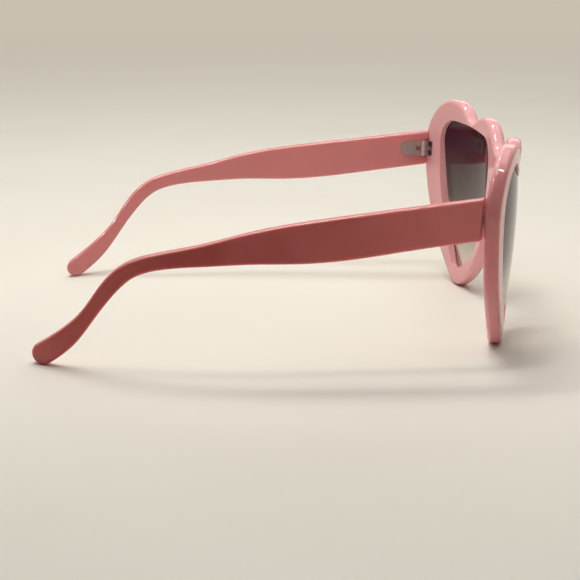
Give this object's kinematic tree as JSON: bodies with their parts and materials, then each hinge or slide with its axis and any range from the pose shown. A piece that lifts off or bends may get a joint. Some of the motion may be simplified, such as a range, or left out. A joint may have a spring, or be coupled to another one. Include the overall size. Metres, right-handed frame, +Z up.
{
  "type": "heart shaped sunglasses",
  "caption": "Sunglasses with a moulded pink front of heart shaped rims, grey tinted lenses, and folding temples on screwed metal hinges.",
  "frame": {"origin": "on the floor, under the middle of the whole, with the glasses open and standing on the tips of the rims and of the temples", "axes": "+X to the wearer's left, +Y from the front back along the temples, +Z up"},
  "size_m": [0.1464, 0.152, 0.0647],
  "materials": {
    "frame_plastic": "glossy",
    "temple_plastic": "glossy",
    "lens_tint": "polished, smoke tint",
    "hinge_metal": "nickel plated",
    "screw_metal": "nickel plated"
  },
  "bodies": {
    "front": {"front_frame": "frame_plastic", "left_lens": "lens_tint", "right_lens": "lens_tint", "left_front_hinge_leaf": "hinge_metal", "right_front_hinge_leaf": "hinge_metal"},
    "left_temple_body": {"left_temple": "temple_plastic", "left_temple_hinge_leaf": "hinge_metal", "left_hinge_screw": "screw_metal"},
    "right_temple_body": {"right_temple": "temple_plastic", "right_temple_hinge_leaf": "hinge_metal", "right_hinge_screw": "screw_metal"}
  },
  "joints": [
    {"name": "left_temple_fold", "type": "hinge", "parent": "front", "child": "left_temple_body", "pos_m": [0.0651, -0.05567, 0.04512], "axis": [0, 0, 1], "range_deg": [0, 88]},
    {"name": "right_temple_fold", "type": "hinge", "parent": "front", "child": "right_temple_body", "pos_m": [-0.0651, -0.05567, 0.04512], "axis": [0, 0, -1], "range_deg": [0, 79]}
  ]
}
